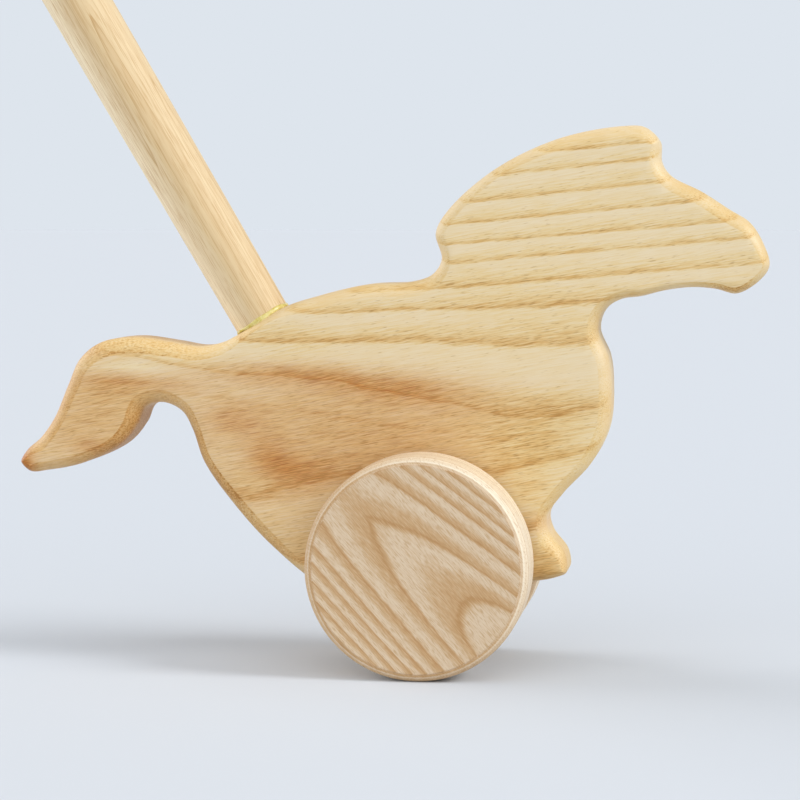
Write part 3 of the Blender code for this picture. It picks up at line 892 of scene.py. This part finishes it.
def birch():
    """Birch, turned and sanded: pale, with fine streaks along the stick, a few long thin brown
    lines where the growth rings come out, wood that grows paler towards both sides, partly its
    sapwood and partly painted light from the side lamps, and a silky sheen."""
    made, tree, shader = blank("birch, turned and sanded")
    lean = 90 + math.degrees(STICK_LEAN)
    broad = put(tree, "MapRange", {0: streaks(tree, lean, 120, 4), 1: 0.3, 2: 0.7})
    wood = put(tree, "ValToRGB", {0: broad}, stops=[
        (0.0, "#c9a873"), (0.5, "#d1b280"), (1.0, "#d8bd8e"),
    ])
    # Paler towards both sides: partly sapwood, partly painted light from the side lamps
    sapwood_and_lit_side = put(tree, "Attribute", attribute_name="sapwood_and_lit_side")
    pale = put(tree, "Math", {0: (sapwood_and_lit_side, "Fac"), 1: 0.9}, operation="MULTIPLY")
    wood = put(tree, "Mix", {0: pale, 6: wood, 7: colour("#fceac7")}, data_type="RGBA")
    fine = put(tree, "MapRange", {
        0: streaks(tree, lean, 9, 0.3), 1: 0.5, 2: 0.7, 3: 0.0, 4: 0.6,
    })
    wood = put(tree, "Mix", {0: fine, 6: (wood, 2), 7: colour("#c0955a")}, data_type="RGBA")
    rings = put(tree, "Math", {0: streaks(tree, lean, 420, 7, 0.0), 1: 9.0}, operation="MULTIPLY")
    rings = put(tree, "Math", {0: rings}, operation="FRACT")
    rings = put(tree, "ValToRGB", {0: rings}, stops=[
        (0.0, 0.0), (0.42, 0.18), (0.48, 0.65), (0.5, 0.0), (1.0, 0.0),
    ])
    wood = put(tree, "Mix", {0: rings, 6: (wood, 2), 7: colour("#b3884a")}, data_type="RGBA")
    tree.links.new(wood.outputs[2], shader.inputs["Base Color"])
    shader.inputs["Roughness"].default_value = 0.65
    return made


def dried_glue():
    """Yellow wood glue, squeezed out and dried: clear yellow and a little cloudy, with a soft
    gloss."""
    made, tree, shader = blank("yellow wood glue, squeezed out and dried")
    cloudy = put(tree, "ValToRGB", {0: streaks(tree, 90, 2, 2)}, stops=[
        (0.35, "#cdb955"), (0.65, "#e8dc98"),
    ])
    tree.links.new(cloudy.outputs[0], shader.inputs["Base Color"])
    shader.inputs["Roughness"].default_value = 0.25
    return made


def beech():
    """Beech dowel, drawn and left bare: pinkish tan with short darker flecks along it."""
    made, tree, shader = blank("beech dowel, drawn and left bare")
    flecks = put(tree, "ValToRGB", {0: streaks(tree, 90, 1, 8)}, stops=[
        (0.3, "#cda67a"), (0.7, "#dcbb94"),
    ])
    tree.links.new(flecks.outputs[0], shader.inputs["Base Color"])
    shader.inputs["Roughness"].default_value = 0.6
    return made


def vulcanised_fibre():
    """Vulcanised fibre, punched from sheet: dull red-brown and faintly mottled, like hard card."""
    made, tree, shader = blank("vulcanised fibre, punched")
    mottled = put(tree, "ValToRGB", {0: streaks(tree, 0, 1, 1)}, stops=[
        (0.3, "#68402f"), (0.7, "#7a4a38"),
    ])
    tree.links.new(mottled.outputs[0], shader.inputs["Base Color"])
    shader.inputs["Roughness"].default_value = 0.7
    return made


def studio():
    """A pale seamless table in soft light: a broad lamp on the right, a weaker one on the left and
    an open front."""
    size = 60.0  # metres from the middle, out of sight
    corners = [(-size, -size, 0), (size, -size, 0), (size, size, 0), (-size, size, 0)]
    floor = bpy.data.meshes.new("studio floor")
    floor.from_pydata(corners, [], [(0, 1, 2, 3)])
    paper, _, shader = blank("pale paper, matt")
    shader.inputs["Base Color"].default_value = colour("#d3d9e1")
    shader.inputs["Roughness"].default_value = 1.0
    shader.inputs["Specular IOR Level"].default_value = 0.0
    floor.materials.append(paper)
    ground = into_scene("studio floor", floor)

    for name, towards, strength, spread in (
        ("right lamp", (1, -0.2, 0.7), 1.65, 22),
        ("left lamp", (-1, 0.28, 0.5), 1.42, 45),
        ("front light", (0, -1, 0.5), 1.45, 110),
    ):
        lamp = bpy.data.lights.new(name, "SUN")
        lamp.energy = strength
        lamp.angle = math.radians(spread)
        tilt = math.atan2(math.hypot(towards[0], towards[1]), towards[2])
        into_scene(name, lamp).rotation_euler = (tilt, 0, math.atan2(towards[0], -towards[1]))

    # The backdrop that is seen is brighter than the light that the room gives
    world = bpy.data.worlds.new("studio")
    world.use_nodes = True
    bpy.context.scene.world = world
    tree = world.node_tree
    tree.nodes.clear()
    ray = put(tree, "LightPath")
    seen = put(tree, "Math", {
        0: (ray, "Is Camera Ray"), 1: (ray, "Is Transmission Ray"),
    }, operation="MAXIMUM")
    seen = put(tree, "Math", {0: seen, 1: (ray, "Is Glossy Ray")}, operation="MAXIMUM")
    room = put(tree, "Background", {"Color": colour("#ffffff"), "Strength": 0.4})
    backdrop = put(tree, "Background", {"Color": colour("#dee5ed"), "Strength": 1.0})
    mixed = put(tree, "MixShader", {0: seen, 1: room, 2: backdrop})
    put(tree, "OutputWorld", {0: mixed})


def camera():
    """A long lens to the horse's right, level with its head, that looks a little down and back."""
    made = bpy.data.cameras.new("camera")
    made.lens = 111.6
    made.sensor_width = 36
    made.clip_end = 200
    stand = into_scene("camera", made)
    stand.location = AXLE + np.array(CAMERA_PLACE) * MM
    stand.rotation_euler = (math.radians(90 - CAMERA_DIP), 0, math.radians(CAMERA_TURN))
    bpy.context.scene.camera = stand


def main():
    """Makes the finishes, the pieces, the light and the camera."""
    disc_finish, stick_finish, washer_finish = bare_ash(), birch(), vulcanised_fibre()
    horse_body(oiled_ash())
    push_stick(stick_finish)
    glue_bead(dried_glue())
    hand_knob(stick_finish)
    axle(beech())
    wheel("right", -1, aside=2.3 * MM, finish=disc_finish)
    wheel("left", 1, aside=-4 * MM, finish=disc_finish)
    spacer("right", -1, washer_finish)
    spacer("left", 1, washer_finish)
    studio()
    camera()
    bpy.context.scene.view_settings.view_transform = "Standard"


main()
